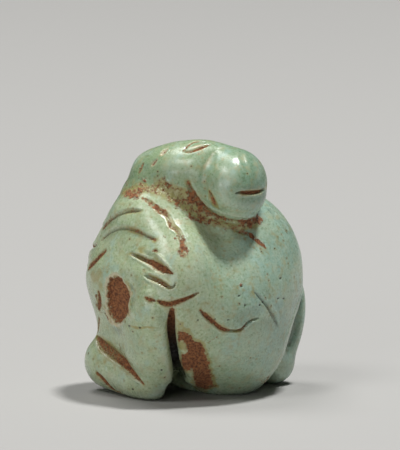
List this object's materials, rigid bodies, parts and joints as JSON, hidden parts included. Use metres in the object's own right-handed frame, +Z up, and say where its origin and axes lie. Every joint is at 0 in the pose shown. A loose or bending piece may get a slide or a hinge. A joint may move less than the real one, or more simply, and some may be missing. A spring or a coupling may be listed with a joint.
{
  "type": "turquoise bixie carving",
  "caption": "Small turquoise carving of a crouching winged feline beast with its head turned back over its left shoulder, resting on its flat underside.",
  "frame": {"origin": "centre of the object's outline seen from above, on the plane of its flat underside", "axes": "+Z up; -X the way the beast's chest faces; -Y out of its left flank, over which the head looks back"},
  "size_m": [0.0256, 0.0212, 0.028],
  "materials": {
    "turquoise": "satin"
  },
  "bodies": {
    "root": {"carving": "turquoise"}
  },
  "joints": []
}
